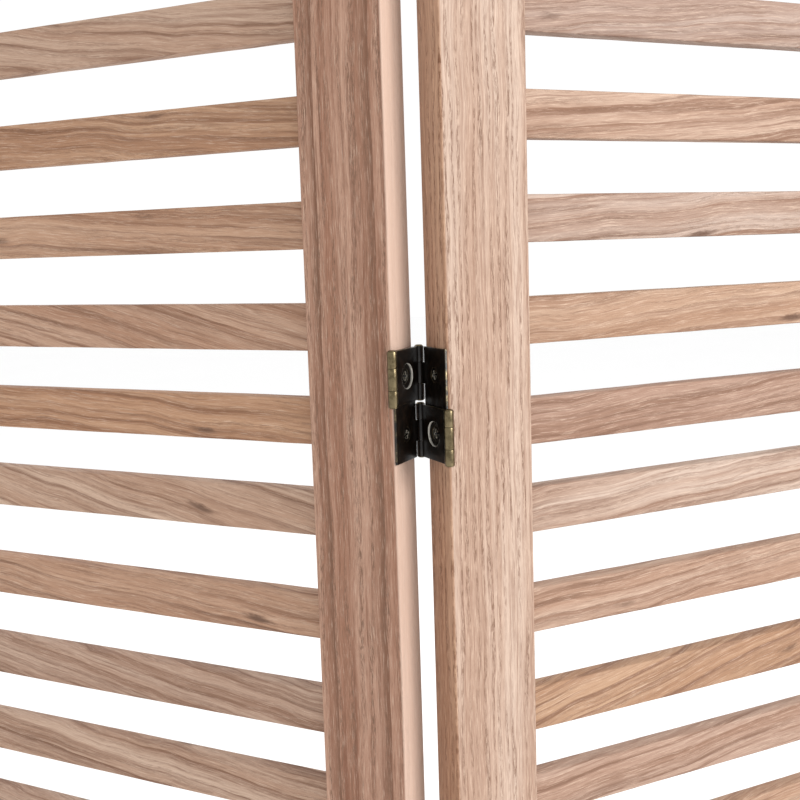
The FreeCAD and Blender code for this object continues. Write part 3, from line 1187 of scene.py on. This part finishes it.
    def build(self) -> None:
        """Makes the leaves, links and pins of the line."""
        upper_end, lower_end = (End.RIGHT, End.LEFT) if self.folded_back else (End.LEFT, End.RIGHT)
        open_side, kept_side = (Side.REAR, Side.FRONT) if self.folded_back else (Side.FRONT, Side.REAR)
        for end, name, piece in ((End.RIGHT, "left_leaves", self.leaf(End.RIGHT, Half.UPPER)),
                                 (End.LEFT, "right_leaves", self.leaf(End.LEFT, Half.LOWER)),
                                 (upper_end, "upper_links", self.link(upper_end, Half.UPPER)),
                                 (lower_end, "lower_links", self.link(lower_end, Half.LOWER))):
            self.put(piece, end, name)
        upper, lower = SIZES.knuckles(Half.UPPER), SIZES.knuckles(Half.LOWER)
        heads = (True, True)
        for end, name, pins in (
                (upper_end, "upper_pins", [(side, upper, heads) for side in Side]),
                (lower_end, "lower_pins", [(kept_side, lower, heads)]),
                (upper_end, "open_pin_middles", [(open_side, lower[1:2], (False, False))]),
                (lower_end, "open_pin_ends", [(open_side, lower[:1], (False, True)),
                                              (open_side, lower[2:], (True, False))])):
            piece = Workpiece()
            for side, spans, headed in pins:
                self.pin(piece, self.y_sign(end, side), spans, headed)
            self.put(piece, end, name)


@dataclass
class ScrewSet:
    """Countersunk cross-head screws in the hinge leaves of one panel."""

    place: PanelPlace
    heights: list[float]
    metal: bpy.types.Material
    arm: float = 1.9 * MM
    slot: float = 0.42 * MM
    recess: float = 1.1 * MM
    recess_taper: float = 0.72
    dome: float = 0.12 * MM
    lip: float = 0.16 * MM
    tip: float = 4 * MM
    tip_taper: float = 0.2
    head_wear: float = 0.15
    # painted glint: high enough to paint the rounded lips of the cross recess near white
    lip_wear_and_glint: float = 0.8
    most_turn: float = 0.35
    crease: float = 0.5

    def screw(self) -> Workpiece:
        """Makes one screw.

        Returns:
            The screw along x, its head towards +x.
        """
        piece = Workpiece()
        bm = piece.mesh
        face = SIZES.leaf - SIZES.screw_sink
        a, s = self.arm, self.slot
        cross = [(a, -s), (a, s), (s, s), (s, a), (-s, a), (-s, s), (-a, s), (-a, -s), (-s, -s), (-s, -a), (s, -a),
                 (s, -s)]
        corners = [bm.verts.new((face, y, z)) for y, z in cross]
        inner = [bm.edges.new(pair) for pair in zip(corners, corners[1:] + corners[:1])]
        spot = Matrix.Translation((face, 0, 0)) @ Matrix.Rotation(math.pi / 2, 4, "Y")
        radius = SIZES.screw_head - SIZES.screw_sink
        ring = bmesh.ops.create_circle(bm, cap_ends=False, segments=SCREW_STEPS, radius=radius, matrix=spot)
        rim = list({edge for vert in ring["verts"] for edge in vert.link_edges})
        bmesh.ops.triangle_fill(bm, use_beauty=True, use_dissolve=False, edges=inner + rim)
        for vert in corners:
            vert.co.x += self.dome
        self._pull(bm, inner, -self.recess, self.recess_taper)
        cone = radius - SIZES.screw_shank
        edges = self._pull(bm, rim, -cone, SIZES.screw_shank / radius)
        edges = self._pull(bm, edges, -(SIZES.screw_length - cone - self.tip), 1.0)
        self._pull(bm, edges, -self.tip, self.tip_taper)
        bmesh.ops.holes_fill(bm, edges=bm.edges, sides=0)
        bmesh.ops.recalc_face_normals(bm, faces=bm.faces)
        for one in bm.faces:
            one[piece.wear_and_glint] = self.head_wear
        marked = set(corners)
        # the rounded lips of the cross take the painted near-white glint
        lips = [edge for edge in bm.edges if set(edge.verts) <= marked]
        for one in round_off(bm, lips, self.lip)["faces"]:
            one[piece.wear_and_glint] = self.lip_wear_and_glint
        return piece

    @staticmethod
    def _pull(bm: bmesh.types.BMesh, edges: Sequence[bmesh.types.BMEdge], along: float,
              scale: float) -> list[bmesh.types.BMEdge]:
        """Extrudes a loop along x and scales it about the screw's axis.

        Args:
            bm: The mesh.
            edges: The loop.
            along: How far.
            scale: By how much.

        Returns:
            The new loop.
        """
        grown = bmesh.ops.extrude_edge_only(bm, edges=edges)["geom"]
        verts = [item for item in grown if isinstance(item, bmesh.types.BMVert)]
        bmesh.ops.translate(bm, vec=(along, 0, 0), verts=verts)
        bmesh.ops.scale(bm, vec=(1.0, scale, scale), verts=verts)
        fresh = set(verts)
        return [item for item in grown if isinstance(item, bmesh.types.BMEdge) and set(item.verts) <= fresh]

    def build(self) -> None:
        """Drives a screw into each half of every leaf, each turned its own way."""
        number = self.place.number
        node = f"panel_{number}_hinge_screws"
        turns = random.Random(number * 17)
        places = []
        for end in (end for end in End if 1 <= number + end.value <= PANELS):
            for height in self.heights:
                for half in Half:
                    shift = Matrix.Translation((0, 0, half.value * SIZES.half_centre))
                    turn = Matrix.Rotation(turns.uniform(-self.most_turn, self.most_turn), 4, "X")
                    places.append(self.place.seat(end, height) @ shift @ turn)
        done = self.screw().copied(places).finished(f"hinge_screws_{number}", self.metal, self.crease)
        install(done, node)


# ---------------------------------------------------------------- studio


@dataclass(frozen=True)
class Lamp:
    """A square soft light."""

    name: str
    at: Point3
    towards: Point3
    size: float
    power: float

    def hang(self) -> None:
        """Puts it in the scene."""
        light = bpy.data.lights.new(self.name, "AREA")
        light.size = self.size
        light.energy = self.power
        lamp = added(self.name, light)
        lamp.location = self.at
        lamp.rotation_euler = (Vector(self.towards) - Vector(self.at)).to_track_quat("-Z", "Y").to_euler()


@dataclass
class Studio:
    """Plain pale floor, soft light mostly from the right, and the camera before the first fold."""

    camera_offset: Vector = field(default_factory=lambda: Vector((-0.0086, -0.4683, 0.0)))
    camera_rise: float = 0.066
    pitch: float = math.radians(7.93)
    roll: float = math.radians(-1.84)
    lens: float = 49.95
    floor_size: float = 14.0
    surroundings: float = 1.03
    lamps: tuple[Lamp, ...] = (Lamp("key_light", (2.3, -1.5, 2.1), (0.0, 0.0, 0.9), 1.5, 112.0),
                               Lamp("fill_light", (-2.0, 2.4, 2.4), (0.0, 0.0, 0.8), 2.0, 16.0))

    def build(self, fold: Vector) -> None:
        """Sets the floor, the lights and the camera.

        Args:
            fold: The pin axis of the first fold, at the middle hinge.
        """
        self._floor()
        self._world()
        for lamp in self.lamps:
            lamp.hang()
        self._camera(fold)

    def _floor(self) -> None:
        """A large round floor."""
        bm = bmesh.new()
        bmesh.ops.create_circle(bm, cap_ends=True, segments=96, radius=self.floor_size)
        mesh = bpy.data.meshes.new("floor")
        bm.to_mesh(mesh)
        bm.free()
        mesh.materials.append(FloorFinish().dress("pale_floor"))
        floor = added("floor", mesh)

    def _world(self) -> None:
        """Even white surroundings."""
        world = bpy.data.worlds.new("studio")
        world.use_nodes = True
        background = world.node_tree.nodes["Background"]
        background.inputs["Color"].default_value = rgb(1.0, 1.0, 1.0)
        background.inputs["Strength"].default_value = self.surroundings
        bpy.context.scene.world = world
        bpy.context.scene.view_settings.view_transform = "Standard"

    def _camera(self, fold: Vector) -> None:
        """The camera, a little above the hinge and looking slightly down.

        Args:
            fold: The pin axis of the first fold, at the middle hinge.
        """
        data = bpy.data.cameras.new("camera")
        data.lens = self.lens
        data.sensor_width = 36.0
        data.clip_start = 0.01
        camera = added("camera", data)
        camera.location = fold + self.camera_offset + Vector((0, 0, self.camera_rise))
        aim = Matrix.Rotation(math.pi / 2 - self.pitch, 4, "X") @ Matrix.Rotation(self.roll, 4, "Z")
        camera.rotation_euler = aim.to_euler()
        bpy.context.scene.camera = camera


def main() -> None:
    """Builds the panels, the hinges and the studio."""
    logging.basicConfig(level=logging.INFO, format="%(name)s: %(message)s")
    places = [PanelPlace.measured(number) for number in range(1, PANELS + 1)]
    heights = hinge_heights()
    metal = LacquerFinish().dress("lacquered_brass")
    for place in places:
        Panel(place).build()
        ScrewSet(place, heights, metal).build()
    for line in range(1, HINGE_LINES + 1):
        HingeLine(line, places[line - 1], places[line], heights, metal).build()
    joint = next(item for item in frame["joints"] if item["name"] == "rear_fold_1")
    fold = Vector((joint["pos_m"][0], joint["pos_m"][1], heights[1]))
    Studio().build(fold)


if __name__ == "__main__":
    main()
